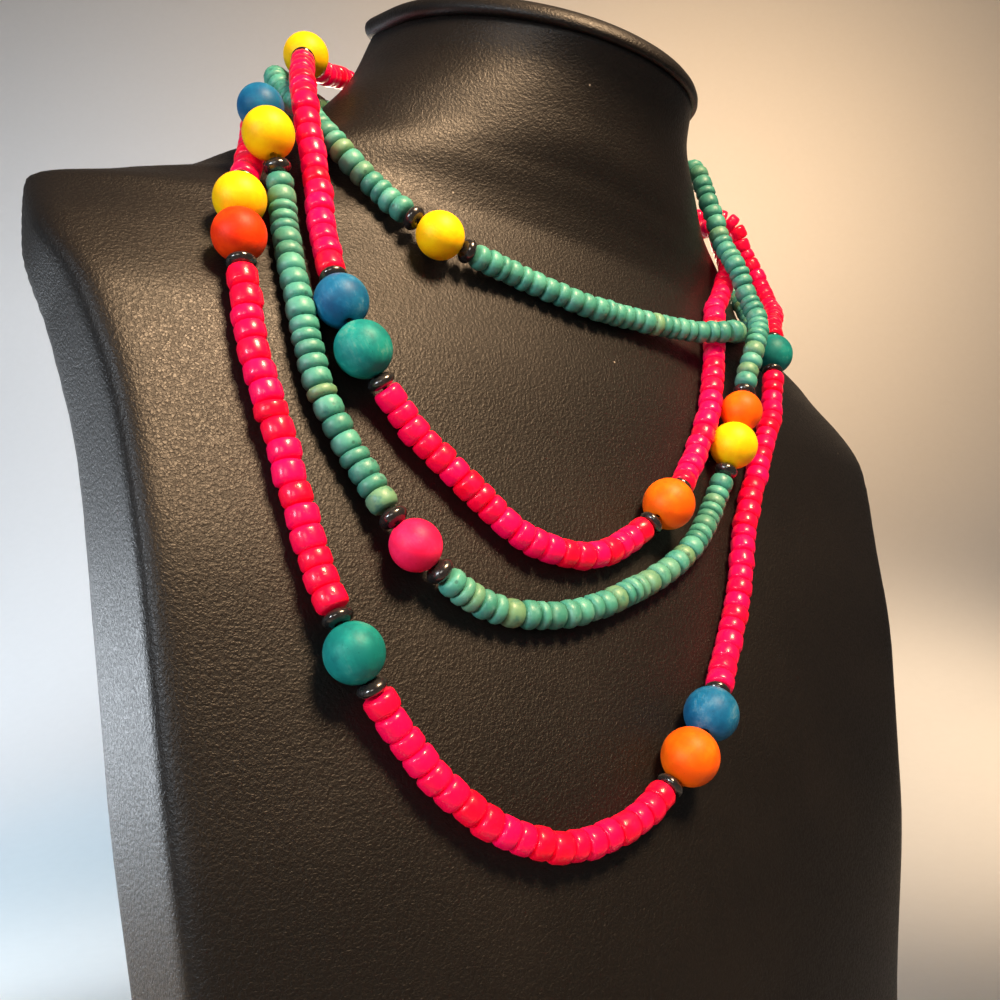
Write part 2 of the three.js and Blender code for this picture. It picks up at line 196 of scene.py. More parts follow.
def off_the_bust(across, height, step=0.5):
    sideways = bust_front(across + step, height) - bust_front(across - step, height)
    upwards = bust_front(across, height + step) - bust_front(across, height - step)
    return sideways.cross(upwards).normalized()

print("middle of the chest at 200 mm:", [round(v, 1) for v in bust_front(0, 200)])

# %% [markdown]
# ## A thread through its stations
#
# A plain Catmull-Rom curve loops where stations crowd together. The centripetal kind, which gives
# each span a time that grows with the root of its length, doesn't. The curve is sampled finely
# once, and after that a bead only has to ask for the point and the direction at its distance
# along the thread.

# %% The threads
class Thread:
    divisions = 2400

    def __init__(self, row, stations):
        bead_radius = small_bead[row.split("_")[1]]["radius"]
        points = [self.station_point(s, bead_radius) for s in stations]
        before, after = 2 * points[0] - points[1], 2 * points[-1] - points[-2]
        self.points = [before, *points, after]
        shares = np.linspace(0, 1, self.divisions + 1)
        self.samples = np.array([self.at_time(u * (len(points) - 1)) for u in shares])
        steps = np.linalg.norm(np.diff(self.samples, axis=0), axis=1)
        self.lengths = np.concatenate([[0], np.cumsum(steps)])
        self.length = self.lengths[-1]
        self.stations = [self.lengths[round(i / (len(points) - 1) * self.divisions)]
                         for i in range(len(points))]

    def station_point(self, station, bead_radius):
        across, height = station["across"], station["height"]
        if "behind" in station:
            return Vector((across, back_plane + station["behind"], height))
        widest = max((width / 2 for _, width in station["group"]), default=bead_radius)
        return bust_front(across, height) + off_the_bust(across, height) * (air + station["lift"] + widest)

    def at_time(self, time):
        i = min(int(time), len(self.points) - 4)
        t = time - i
        p = self.points[i:i + 4]
        d = [(b - a).length ** 0.5 for a, b in zip(p, p[1:])]
        leave = ((p[1] - p[0]) / d[0] - (p[2] - p[0]) / (d[0] + d[1]) + (p[2] - p[1]) / d[1]) * d[1]
        arrive = ((p[2] - p[1]) / d[1] - (p[3] - p[1]) / (d[1] + d[2]) + (p[3] - p[2]) / d[2]) * d[1]
        return (p[1] + leave * t + (3 * (p[2] - p[1]) - 2 * leave - arrive) * t ** 2
                + (2 * (p[1] - p[2]) + leave + arrive) * t ** 3)

    def point(self, at):
        return Vector([np.interp(at, self.lengths, self.samples[:, axis]) for axis in range(3)])

    def direction(self, at, reach=0.4):
        return (self.point(min(at + reach, self.length)) - self.point(max(at - reach, 0))).normalized()

threads = {row: Thread(row, stations) for row, stations in rows.items()}
print({row: round(thread.length) for row, thread in threads.items()}, "mm of thread")

# %% [markdown]
# ## What sits where on each thread
#
# A group of big beads is centred on its station, with a spacer at each end. What is left between
# two groups is a run of small beads. Each row's plan is a list of such places, under the names
# that the model gives them.

# %% The plan of each row
def plan_row(row):
    thread, kind = threads[row], row.split("_")[1]
    singles, runs, run_start = [], [], 0
    groups = [(at, s["group"]) for at, s in zip(thread.stations, rows[row]) if s["group"]]
    for number, (middle, group) in enumerate(groups, 1):
        black = {"kind": "spacer", **spacer[kind]}
        big = [{"kind": "bead", "finish": finish, "radius": width / 2, "length": width * 0.95, "bore": 1.15}
               for finish, width in group]
        pieces = [black, *big, black]
        at = middle - (sum(p["length"] + bead_air for p in pieces) - bead_air) / 2
        runs.append((run_start, at - bead_air))
        for k, piece in enumerate(pieces):
            label = (f"bead_{piece['finish']}" if piece["kind"] == "bead"
                     else "spacer_before" if k == 0 else "spacer_after")
            singles.append({**piece, "node": f"{row}_{number}_{label}", "at": at + piece["length"] / 2})
            at += piece["length"] + bead_air
        run_start = at
    runs.append((run_start, thread.length))
    return {"kind": kind, "singles": singles, "runs": runs}

plans = {row: plan_row(row) for row in rows}

def off_centre(row, single):
    low, high = (Vector(c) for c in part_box(single["node"]))
    return ((low + high) / 2 / MM - threads[row].point(single["at"])).length

print("a big bead's place differs from the frame's by at most",
      round(max(off_centre(row, s) for row, plan in plans.items() for s in plan["singles"]), 2), "mm")

# %% [markdown]
# ## Building materials in code
#
# A material is a tree of nodes, and wiring nodes by hand hides what they compute. Two small
# classes help. A `Wire` wraps a socket, and adding or multiplying wires adds the Math nodes, so a
# mask reads as the sum that it is. A `Finish` holds one material and makes every other node
# through a single method.

# %% Wires and finishes
class Wire:
    """The output of a node, used in sums like a number."""

    def __init__(self, finish, socket):
        self.finish, self.socket = finish, socket

    def maths(self, operation, *values):
        return self.finish.node("ShaderNodeMath", {"operation": operation}, dict(enumerate(values)))

    def __add__(self, other): return self.maths("ADD", self, other)
    def __radd__(self, other): return self.maths("ADD", other, self)
    def __sub__(self, other): return self.maths("SUBTRACT", self, other)
    def __rsub__(self, other): return self.maths("SUBTRACT", other, self)
    def __mul__(self, other): return self.maths("MULTIPLY", self, other)
    def __rmul__(self, other): return self.maths("MULTIPLY", other, self)

    def between(self, low, high):
        """0 below low, 1 above high, and a smooth rise between them."""
        return self.finish.node("ShaderNodeMapRange", {"interpolation_type": "SMOOTHSTEP"},
                                {"Value": self, "From Min": low, "From Max": high})


class Finish:
    """One material: its tree of nodes and its shader."""

    def __init__(self, name, **constants):
        self.material = bpy.data.materials.new(name)
        self.material.use_nodes = True
        self.tree = self.material.node_tree
        self.shader = self.tree.nodes["Principled BSDF"]
        for socket, value in constants.items():
            self.shader.inputs[socket.replace("_", " ").title().replace("Ior", "IOR")].default_value = value

    def node(self, kind, settings=None, inputs=None, output=0):
        made = self.tree.nodes.new(kind)
        for setting, value in (settings or {}).items():
            setattr(made, setting, value)
        for socket, value in (inputs or {}).items():
            self.feed(made.inputs[socket], value)
        return Wire(self, made.outputs[output])

    def feed(self, socket, value):
        if isinstance(value, Wire):
            self.tree.links.new(value.socket, socket)
        else:
            socket.default_value = value

    def shade(self, **sockets):
        for socket, value in sockets.items():
            self.feed(self.shader.inputs[socket.replace("_", " ").title()], value)

    def place(self):
        return self.node("ShaderNodeTexCoord", output="Object")

    def carried(self, name, output="Fac"):
        """A number or a place that the mesh itself carries."""
        return self.node("ShaderNodeAttribute", {"attribute_name": name}, output=output)

    def noise(self, where, per_metre, detail=2.0, roughness=0.5, output="Fac"):
        return self.node("ShaderNodeTexNoise", None, {
            "Vector": where, "Scale": per_metre, "Detail": detail, "Roughness": roughness,
        }, output)

    def cells(self, where, per_metre, feature="F1"):
        return self.node("ShaderNodeTexVoronoi", {"feature": feature},
                         {"Vector": where, "Scale": per_metre}, "Distance")

    def vector(self, operation, *values):
        return self.node("ShaderNodeVectorMath", {"operation": operation}, dict(enumerate(values)))

    def blend(self, share, first, second):
        return self.node("ShaderNodeMix", {"data_type": "RGBA"}, {0: share, 6: first, 7: second}, 2)

    def bump(self, height, distance, strength=1.0):
        return self.node("ShaderNodeBump", None,
                         {"Height": height, "Distance": distance, "Strength": strength})

print("Wire adds Math nodes, Finish makes all the others")

# %% [markdown]
# ## Leatherette
#
# The bust's cover is a soft black vinyl with an embossed grain. Up close the grain is a field of
# small pebbles, under a millimetre across, that run into each other, with fine creases between
# them. Cells alone look like cracked mud, because real pebbles have soft shoulders, and noise alone
# looks like cloud. So the relief is a noise at the pebbles' size, pushed towards flat crowns and
# flat valleys, and cells add only the thin creases. What tells the eye that this is vinyl is the
# broad, soft sheen that breaks up over the relief and skips the duller creases.

# %% The leatherette
def make_leatherette():
    finish = Finish("black_leatherette", specular_ior_level=0.34)
    place = finish.place()
    swell = finish.noise(place, 1250, 1.5, 0.55).between(0.34, 0.64)
    drift = finish.vector("SUBTRACT", finish.noise(place, 1300, 2, output="Color"), (0.5, 0.5, 0.5))
    bent = finish.vector("MULTIPLY_ADD", drift, (0.0007, 0.0007, 0.0007), place)
    crown = finish.cells(bent, 1350, "DISTANCE_TO_EDGE").between(0.0, 0.16)
    relief = 0.66 * swell + 0.34 * crown
    cloud = finish.noise(place, 34, 3)
    # The valleys and creases are painted darker than the crowns: this is painted shade in the creases, on
    # top of what the bump does.
    colour = finish.blend(relief, (0.001, 0.0009, 0.0009, 1), (0.0062, 0.0047, 0.0040, 1))
    rubbed = finish.blend(cloud.between(0.4, 0.8) * 0.45, colour, (0.0085, 0.0065, 0.0054, 1))
    dust = finish.cells(place, 62).between(0.022, 0.012)
    finish.shade(
        base_color=finish.blend(dust * 0.6, rubbed, (0.42, 0.38, 0.33, 1)),
        roughness=0.52 - 0.15 * relief + 0.05 * cloud + 0.2 * dust,
        normal=finish.bump(relief, 0.00011, 0.6),
    )
    return finish.material

leatherette = make_leatherette()
print(leatherette.name, "has", len(leatherette.node_tree.nodes), "nodes")

# %% [markdown]
# ## Pink and turquoise beads
#
# The pink beads are a fluorescent plastic with a wet-looking skin. Fluorescent dye sends out more
# red than falls on it, which a little glow of the same colour stands for. The glow is also painted
# light, because it lightens the beads' shaded sides as much as their lit ones. The turquoise beads
# are duller: dyed stone, cloudy from bead to bead and within each one, with dark specks and a faint
# wax. Each bead carries two numbers of its own, so neighbours differ.

# %% The small beads' finishes
def make_pink():
    # The emission is a painted glow: it stands for the dye's fluorescence and also lightens the beads'
    # shaded sides.
    finish = Finish("fluorescent_pink", specular_ior_level=0.2, coat_roughness=0.10, emission_strength=0.13)
    place, tint = finish.place(), finish.carried("tint")
    cloud = finish.noise(place, 260, 3)
    body = finish.blend(tint, (0.86, 0.0015, 0.024, 1), (0.92, 0.002, 0.090, 1))
    body = finish.blend(cloud.between(0.45, 0.8) * 0.4, body, (0.98, 0.008, 0.125, 1))
    pits = finish.cells(place, 620).between(0.26, 0.1)
    finish.shade(
        base_color=body,
        emission_color=finish.blend(tint, (1.0, 0.0, 0.030, 1), (1.0, 0.0, 0.095, 1)),
        roughness=0.24 + 0.16 * finish.noise(place, 900, 2),
        coat_weight=0.13 + 0.22 * cloud,
        normal=finish.bump(finish.noise(place, 480, 2) - 0.25 * pits, 0.00025, 0.5),
    )
    return finish.material

def make_turquoise():
    finish = Finish("dyed_turquoise", specular_ior_level=0.5, coat_roughness=0.25)
    place, tint, shade = finish.place(), finish.carried("tint"), finish.carried("shade")
    body = finish.blend(tint, (0.034, 0.225, 0.178, 1), (0.066, 0.335, 0.270, 1))
    body = finish.blend(shade.between(0.72, 1.0) * 0.8, body, (0.150, 0.290, 0.140, 1))
    cloud = finish.noise(place, 330, 4, 0.6)
    body = finish.blend(cloud.between(0.50, 0.74) * 0.6, body, (0.150, 0.400, 0.350, 1))
    body = finish.blend(cloud.between(0.45, 0.28) * 0.7, body, (0.012, 0.150, 0.135, 1))
    specks = finish.cells(finish.vector("ADD", place, (0.011, 0.007, 0.003)), 300).between(0.17, 0.09)
    finish.shade(
        base_color=finish.blend(specks * 0.5, body, (0.015, 0.045, 0.045, 1)),
        roughness=0.40 + 0.20 * finish.noise(place, 700, 3),
        coat_weight=0.18 * (1 - cloud),
        normal=finish.bump(finish.noise(place, 1300, 3) - 0.5 * specks, 0.00012, 0.5),
    )
    return finish.material

small_finishes = {"pink": make_pink(), "turquoise": make_turquoise()}
print([material.name for material in small_finishes.values()])

# %% [markdown]
# ## Painted wood, black spacers, thread and clasp
#
# The big beads are turned wood under one satin coat. Grain shows as a faint ripple that runs from
# bore to bore, and the paint is thin and chalky where beads rub. Their meshes carry the place of
# each point in the bead's own axes, so the grain follows the bead whichever way it hangs. The
# spacers are nearly a mirror in black, with just enough smudge to look handled.

# %% Painted wood
def make_paint(name, colour, deep, chalk, wear):
    finish = Finish(f"painted_wood_{name}", specular_ior_level=0.20)
    along = finish.carried("turning", "Vector")
    lengthwise = finish.vector("MULTIPLY", along, (1, 1, 0.16))
    grain = finish.noise(lengthwise, 1500, 3, 0.6)
    cloud = finish.noise(along, 170, 4, 0.62)
    body = finish.blend(cloud.between(0.38, 0.68), (*deep, 1), (*colour, 1))
    rubbed = (cloud * 0.7 + grain * 0.3).between(0.66 - wear * 0.26, 0.84 - wear * 0.22)
    specks = finish.cells(along, 900).between(0.16, 0.08)
    body = finish.blend(rubbed * min(1, wear * 1.4), body, (*chalk, 1))
    finish.shade(
        base_color=finish.blend(specks * (0.12 + 0.3 * wear), body, (*(v * 0.35 for v in deep), 1)),
        roughness=0.44 + 0.10 * grain + 0.20 * rubbed,
        normal=finish.bump(grain * 0.5 + cloud * 0.6 - specks * 0.25, 0.00018, 0.45),
    )
    return finish.material

paints = {
    "yellow": make_paint("yellow", (0.93, 0.62, 0.002), (0.89, 0.49, 0.001), (0.95, 0.70, 0.05), 0.05),
    "orange": make_paint("orange", (0.92, 0.160, 0.002), (0.86, 0.105, 0.001), (0.96, 0.30, 0.03), 0.35),
    "orangeRed": make_paint("orange_red", (0.90, 0.052, 0.002), (0.76, 0.026, 0.001),
                            (0.94, 0.13, 0.01), 0.2),
    "blue": make_paint("blue", (0.008, 0.150, 0.330), (0.004, 0.088, 0.220), (0.12, 0.27, 0.40), 0.5),
    "teal": make_paint("teal", (0.010, 0.270, 0.255), (0.004, 0.160, 0.165), (0.17, 0.36, 0.31), 0.45),
    "magenta": make_paint("magenta", (0.90, 0.022, 0.130), (0.80, 0.008, 0.075), (0.95, 0.13, 0.25), 0.35),
}
print(sorted(paints))

# %% Black spacers, thread and clasp
def make_black():
    finish = Finish("polished_black", specular_ior_level=0.6, coat_roughness=0.06)
    place = finish.place()
    smudge = finish.noise(place, 520, 3)
    finish.shade(
        base_color=finish.blend(smudge, (0.006, 0.006, 0.007, 1), (0.022, 0.021, 0.022, 1)),
        roughness=0.12 + 0.26 * smudge.between(0.35, 0.75),
        coat_weight=0.25 + 0.3 * smudge,
        normal=finish.bump(finish.noise(place, 640, 2), 0.00012, 0.4),
    )
    return finish.material

def make_cotton():
    finish = Finish("waxed_cotton")
    place = finish.place()
    fibres = finish.noise(place, 6000, 2)
    finish.shade(
        base_color=finish.blend(fibres, (0.02, 0.012, 0.012, 1), (0.07, 0.045, 0.04, 1)),
        roughness=0.7 + 0.2 * fibres,
        normal=finish.bump(fibres, 0.0001, 0.6),
    )
    return finish.material

def make_clasp_metal():
    finish = Finish("satin_metal", metallic=1.0)
    place = finish.place()
    brushed = finish.noise(finish.vector("MULTIPLY", place, (0.08, 1, 1)), 5200, 3)
    finish.shade(
        base_color=finish.blend(brushed, (0.50, 0.48, 0.44, 1), (0.66, 0.64, 0.60, 1)),
        roughness=0.24 + 0.18 * brushed,
        normal=finish.bump(brushed, 0.00004, 0.5),
    )
    return finish.material

polished_black, waxed_cotton, clasp_metal = make_black(), make_cotton(), make_clasp_metal()
print(polished_black.name, waxed_cotton.name, clasp_metal.name)

# %% [markdown]
# ## From a bmesh to a piece
#
# Every piece ends the same way: its mesh is measured in millimetres while it is made, is brought
# to metres, gets its finish and smooth faces, rides on the body root, and the solids of the frame
# that it stands for are hidden.

# %% Finishing a piece
def finish_piece(name, bm, material, nodes=(), recalculate=True):
    if recalculate:
        bmesh.ops.recalc_face_normals(bm, faces=bm.faces)
    bmesh.ops.transform(bm, matrix=Matrix.Scale(MM, 4), verts=bm.verts)
    for face in bm.faces:
        face.smooth = True
    mesh = bpy.data.meshes.new(name)
    bm.to_mesh(mesh)
    bm.free()
    mesh.materials.append(material)
    piece = bpy.data.objects.new(name, mesh)
    bpy.context.collection.objects.link(piece)
    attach(piece, "root")
    if nodes:
        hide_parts(*nodes)
    return piece

print("pieces ride on the one body, root")

# %% [markdown]
# ## The bust
#
# A bust like this is a padded form wrapped in leatherette: a crowned front, two flat side walls, a
# flat back, shoulders that end in a short cut, and a neck whose top is cut on a slant. It could be
# carved from a cube with a subdivision surface, but then each section would drift from the frame.
# A loft keeps them close: one outline of the base is extruded upwards again and again, and each
# new loop is settled on to the outline at its height. No skin over foam folds to a knife edge, so
# each outline is first stepped off evenly, and every point is then drawn a little towards its two
# neighbours a few times, which rolls the corners over and leaves the long curves alone.

# %% Outlines of the bust
slant = {"start": 292, "end": 344, "slope": 0.52, "pivot": 14.5}
round_steps, easing = 260, 4

def corners_and_curves(height):
    """Once round the bust: along the front from left to right, then the walls and the back."""
    half, front, edge, bulge, crown = bust_at(height)
    turns = np.linspace(0, math.pi, 181)
    over = [(-half * math.cos(t), -edge - (front - edge) * max(0, math.sin(t)) ** crown) for t in turns]
    back = [(half * math.cos(t), bulge * math.sin(t)) for t in turns]
    return np.array(over + back + over[:1])

def evenly_spaced(points, count):
    lengths = np.concatenate([[0], np.cumsum(np.linalg.norm(np.diff(points, axis=0), axis=1))])
    stops = np.linspace(0, lengths[-1], count, endpoint=False)
    return np.stack([np.interp(stops, lengths, points[:, axis]) for axis in (0, 1)], axis=1)

def outline(height):
    points = evenly_spaced(corners_and_curves(height), round_steps)
    for _ in range(easing):
        points = (np.roll(points, 1, axis=0) + 2 * points + np.roll(points, -1, axis=0)) / 4
    share = min(1, max(0, (height - slant["start"]) / (slant["end"] - slant["start"])))
    return [Vector((x, y + back_plane, height + share * slant["slope"] * (y + slant["pivot"])))
            for x, y in points]

levels = sorted({*np.round(np.linspace(0, 232, 40), 2), *np.round(np.linspace(232, 292, 46), 2),
                 *np.round(np.linspace(292, 344, 26), 2)})
print(len(outline(0)), "points round,", len(levels), "levels")

# %% Lofting by extrusion
def start_loop(bm, points):
    loop = [bm.verts.new(p) for p in points]
    for a, b in zip(loop, loop[1:] + loop[:1]):
        bm.edges.new((a, b))
    return loop

def edges_of(bm, loop):
    return [bm.edges.get((a, b)) for a, b in zip(loop, loop[1:] + loop[:1])]

def extrude_loop(bm, loop, points):
    """Extrudes a closed loop of edges and settles the new one on the given points."""
    made = bmesh.ops.extrude_edge_only(bm, edges=edges_of(bm, loop))["geom"]
    fresh = {tuple(v.co): v for v in made if isinstance(v, bmesh.types.BMVert)}
    new_loop = [fresh[tuple(v.co)] for v in loop]
    for v, p in zip(new_loop, points):
        v.co = p
    return new_loop

def loft(bm, rings):
    loops = [start_loop(bm, rings[0])]
    for ring in rings[1:]:
        loops.append(extrude_loop(bm, loops[-1], ring))
    return loops

def close_ends(bm, loops):
    for loop in (loops[0], loops[-1]):
        bmesh.ops.edgeloop_fill(bm, edges=edges_of(bm, loop))

# %% The bust's body
bm = bmesh.new()
close_ends(bm, loft(bm, [outline(level) for level in levels]))
bust = finish_piece("bust_cover", bm, leatherette, ["bust_body"])
print(bust.name, len(bust.data.polygons), "faces")

# %% [markdown]
# ## The rolled lip of the neck
#
# The neck is closed by a cap whose edge is rolled over padding, a shade wider than the neck, with
# a dark groove under it where the two skins meet. Its outline is the neck's own top outline,
# pushed outwards and raised by the lip's profile, so the groove has the same width all round.

# %% The lip
lip_profile = [(0.35, -3.0), (0.32, -0.9), (0.5, 0.5), (1.1, 1.45), (2.0, 2.0), (3.3, 2.2), (4.6, 1.95),
               (5.7, 1.2), (6.5, 0.1), (6.95, -1.2), (7.0, -2.6), (6.75, -4.2)]
neck_top = outline(slant["end"])
neck_middle = sum(neck_top, Vector()) / len(neck_top)

def lip_ring(rise, spread):
    return [p + (p - neck_middle).normalized() * spread + Vector((0, 0, rise)) for p in neck_top]

bm = bmesh.new()
close_ends(bm, loft(bm, [lip_ring(rise, spread) for rise, spread in lip_profile]))
lid = max(bm.faces, key=lambda f: f.calc_center_median().z if len(f.verts) > 8 else -1)
bmesh.ops.inset_individual(bm, faces=[lid], thickness=6, depth=0.0)
lip = finish_piece("neck_roll", bm, leatherette, ["neck_lip"])
print(lip.name, len(lip.data.polygons), "faces")

# %% [markdown]
# ## Small beads
#
# A small bead is a slice of rod with its rims rounded off, so it starts as a cylinder whose two
# rims are bevelled: a narrow bevel leaves the pink ones blunt, and a deep one makes the turquoise
# ones into little barrels. There are hundreds, so one bead is made with a few dozen faces and
# copied along the thread. It is a shade wider than the frame's solid, which takes up some or all
# of the air that the solid leaves over the bust. What sells the beads is that no two match: each
# has its own length, width, lean and slip to the side, all from a seeded random source.

# %% One small bead
usual_length = 4.0  # the rims are rounded at this length, and the bead is then brought back to 1

def small_bead_mesh(radius, rounding, segments=13):
    bm = bmesh.new()
    bmesh.ops.create_cone(bm, cap_ends=True, segments=segments, radius1=radius, radius2=radius, depth=1)
    bmesh.ops.scale(bm, vec=(1, 1, usual_length), verts=bm.verts)
    rims = [e for e in bm.edges if abs(e.verts[0].co.z - e.verts[1].co.z) < 0.01]
    bmesh.ops.bevel(bm, geom=rims, affect="EDGES", offset=rounding, segments=2, profile=0.5, material=-1)
    bmesh.ops.scale(bm, vec=(1, 1, 1 / usual_length), verts=bm.verts)
    mesh = bpy.data.meshes.new("small_bead")
    bm.to_mesh(mesh)
    bm.free()
    return mesh

small_meshes = {"pink": small_bead_mesh(radius=3.35, rounding=0.95),
                "turquoise": small_bead_mesh(radius=3.2, rounding=1.25)}
manners = {  # how unlike its neighbours a bead may be
    "pink": {"length": 0.18, "width": 0.07, "lean": 0.10, "slip": 0.22},
    "turquoise": {"length": 0.30, "width": 0.05, "lean": 0.07, "slip": 0.12},
}
print({kind: len(mesh.polygons) for kind, mesh in small_meshes.items()}, "faces a bead")

# %% Stringing the small beads
def bead_lengths(luck, whole, kind):
    """Uneven lengths that fill a stretch of thread exactly."""
    count = max(1, round(whole / small_bead[kind]["length"]))
    uneven = [1 + luck.uniform(-1, 1) * manners[kind]["length"] for _ in range(count)]
    return [whole * u / sum(uneven) for u in uneven]

def string_beads(row, number, start, end):
    kind = plans[row]["kind"]
    luck = random.Random(f"{row} {number}")
    thread, manner, template = threads[row], manners[kind], small_meshes[kind]
    bm = bmesh.new()
    tint, shade = bm.verts.layers.float.new("tint"), bm.verts.layers.float.new("shade")
    at = start
    for length in bead_lengths(luck, end - start, kind):
        known = len(bm.verts)
        bm.from_mesh(template)
        bm.verts.ensure_lookup_table()
        fresh = bm.verts[known:]
        width = 1 - luck.random() * manner["width"]
        lean = Quaternion((luck.gauss(0, 1), luck.gauss(0, 1), 0), luck.gauss(0, 1) * manner["lean"] * 0.6)
        turn = thread.direction(at + length / 2).to_track_quat("Z", "Y") @ lean
        slip = turn @ Vector((luck.uniform(-1, 1), luck.uniform(-1, 1), 0)) * manner["slip"]
        spin = Matrix.Rotation(luck.uniform(0, math.tau), 4, "Z")
        place = Matrix.Translation(thread.point(at + length / 2) + slip) @ turn.to_matrix().to_4x4()
        bmesh.ops.transform(bm, verts=fresh,
                            matrix=place @ spin @ Matrix.Diagonal((width, width, length * 0.985, 1)))
        own_tint, own_shade = luck.random(), luck.random()
        for vert in fresh:
            vert[tint], vert[shade] = own_tint, own_shade
        at += length
    return finish_piece(f"{row}_beads_{number}", bm, small_finishes[kind],
                        [f"{row}_run_{number}"], recalculate=False)

strings = [string_beads(row, number, start, end)
           for row, plan in plans.items() for number, (start, end) in enumerate(plan["runs"], 1)]
print(len(strings), "runs,", sum(len(s.data.polygons) for s in strings), "faces")

# %% [markdown]
# ## Big beads and spacers
#
# A turned bead is what a lathe makes, so it is made the same way. Its half profile is an arc,
# which one point spun about the bead's middle draws. The arc's ends are extruded into the bore,
# and the whole profile is spun once round the bore's axis. Each is longer than its solid by most
# of the air between two of them, so that neighbours all but touch. The spacers are the same shape
# with other numbers, and those of the turquoise rows are wider than their solids too.

# %% A turned bead
def turned_bead(radius, length, bore, arc_steps, sides):
    bm = bmesh.new()
    squeeze = math.sqrt(1 - (bore / radius) ** 2)
    low = bm.verts.new((bore, 0, -squeeze * radius))
    reach = 2 * math.atan2(squeeze * radius, bore)
    bmesh.ops.spin(bm, geom=[low], cent=(0, 0, 0), axis=(0, -1, 0), angle=reach, steps=arc_steps)
    high = max(bm.verts, key=lambda v: v.co.z)
    for end, side in ((low, 1), (high, -1)):
        lead = bmesh.ops.extrude_vert_indiv(bm, verts=[end])["verts"][0]
        lead.co = (bore * 0.72, 0, end.co.z + side * radius * 0.03)
        wall = bmesh.ops.extrude_vert_indiv(bm, verts=[lead])["verts"][0]
        wall.co = (bore * 0.62, 0, end.co.z + side * radius * 0.16)
    inner = sorted(bm.verts, key=lambda v: v.co.x)[:2]
    bm.edges.new(inner)
    bmesh.ops.spin(bm, geom=bm.verts[:] + bm.edges[:], cent=(0, 0, 0), axis=(0, 0, 1),
                   angle=math.tau, steps=sides, use_merge=True)
    bmesh.ops.remove_doubles(bm, verts=bm.verts, dist=0.001)
    bmesh.ops.scale(bm, vec=(1, 1, length / 2 / (squeeze * radius)), verts=bm.verts)
    bmesh.ops.recalc_face_normals(bm, faces=bm.faces)
    return bm

fuller = 0.4             # how much wider a turquoise row's spacers are than their solids
closer = 0.9 * bead_air  # how much longer a bead or a spacer is than its solid
bead_steps, spacer_steps = (22, 44), (12, 32)

def place_single(row, single):
    big = single["kind"] == "bead"
    radius = single["radius"] + (0 if big or plans[row]["kind"] == "pink" else fuller)
    length = single["length"] + closer
    bm = turned_bead(radius, length, single["bore"], *(bead_steps if big else spacer_steps))
    luck = random.Random(single["node"])
    turning = bm.verts.layers.float_vector.new("turning")
    offset = Vector((luck.random(), luck.random(), luck.random())) * 0.3
    for vert in bm.verts:
        vert[turning] = vert.co * MM + offset
    thread = threads[row]
    turn = (thread.direction(single["at"]).to_track_quat("Z", "Y").to_matrix().to_4x4()
            @ Matrix.Rotation(luck.uniform(0, math.tau), 4, "Z"))
    bmesh.ops.transform(bm, matrix=Matrix.Translation(thread.point(single["at"])) @ turn, verts=bm.verts)
    material = paints[single["finish"]] if big else polished_black
    slot = "black_spacer"
    if big:
        slot = {"orangeRed": "orange_red"}.get(single["finish"], single["finish"]) + "_bead"
    return finish_piece("fine_" + single["node"], bm, material, [single["node"]], recalculate=False)

singles = [place_single(row, single) for row, plan in plans.items() for single in plan["singles"]]
print(len(singles), "big beads and spacers,", sum(len(s.data.polygons) for s in singles), "faces")

# %% [markdown]
# ## The thread and the clasp
#
# The thread shows only as a dark line between the big beads and where the rows meet the clasp. It
# is drawn as a small ring, extruded along the whole row in short steps. The clasp sits out of sight
# behind the neck, so it stays the plain bar that the frame has, with its edges eased.

# %% The threads themselves
def draw_thread(row, radius=0.55, step=2.2, sides=7):
    thread = threads[row]
    stops = np.linspace(0, thread.length, round(thread.length / step))
    up, rings = Vector((0, 0, 1)), []
    for at in stops:
        along = thread.direction(at)
        up = (up - along * up.dot(along)).normalized()
        side = along.cross(up)
        turns = [math.tau * k / sides for k in range(sides)]
        rings.append([thread.point(at) + (up * math.cos(t) + side * math.sin(t)) * radius for t in turns])
    bm = bmesh.new()
    loops = loft(bm, rings)
    for loop in (loops[0], loops[-1]):
        bmesh.ops.contextual_create(bm, geom=loop)
    return finish_piece(f"{row}_thread", bm, waxed_cotton)

drawn = [draw_thread(row) for row in rows]
print(len(drawn), "threads,", len(drawn[0].data.polygons), "faces in the first")

# %% The clasp
bm = bmesh.new()
bmesh.ops.create_cube(bm, size=1)
clasp_size, clasp_height, clasp_behind = (7, 30, 4), 327, 19.8
bmesh.ops.scale(bm, vec=clasp_size, verts=bm.verts)
corners = [e for e in bm.edges if abs(e.verts[0].co.z - e.verts[1].co.z) > 1]
bmesh.ops.bevel(bm, geom=corners, affect="EDGES", offset=1.5, segments=5, profile=0.5, material=-1)
rims = [e for e in bm.edges if abs(e.verts[0].co.z - e.verts[1].co.z) < 0.01]
bmesh.ops.bevel(bm, geom=rims, affect="EDGES", offset=0.4, segments=2, profile=0.5, material=-1)
upright = Matrix.Rotation(math.pi / 2 - math.radians(13), 4, "X")
clasp_place = Matrix.Translation((0, back_plane + clasp_behind, clasp_height))
bmesh.ops.transform(bm, matrix=clasp_place @ upright, verts=bm.verts)
clasp = finish_piece("clasp_bar", bm, clasp_metal, ["clasp"])
print(clasp.name, len(clasp.data.polygons), "faces")

# %% [markdown]
# ## Floor, backdrop and light
#
# A pale sweep of paper runs from under the bust and up behind it in one wide curve, so there is no
# line where the floor ends. It faces the camera, because a sweep that doesn't would show its side
# edge. Two lamps do most of the work: a warm one overhead and in front, whose glow rolls over the
# chest and lays each row's shadow under it, and a cooler one level with the bust on the viewer's
# left, like a window, which puts the second small light on each bead. A weak one in front fills the
# shadows. These three have shades, so that less of their light reaches the foot of the bust, which
# stays dark. A low lamp and one behind give the side wall and the back their own glow. The last
# four light only the paper: two are warm and two cool, so its colour changes from side to side.

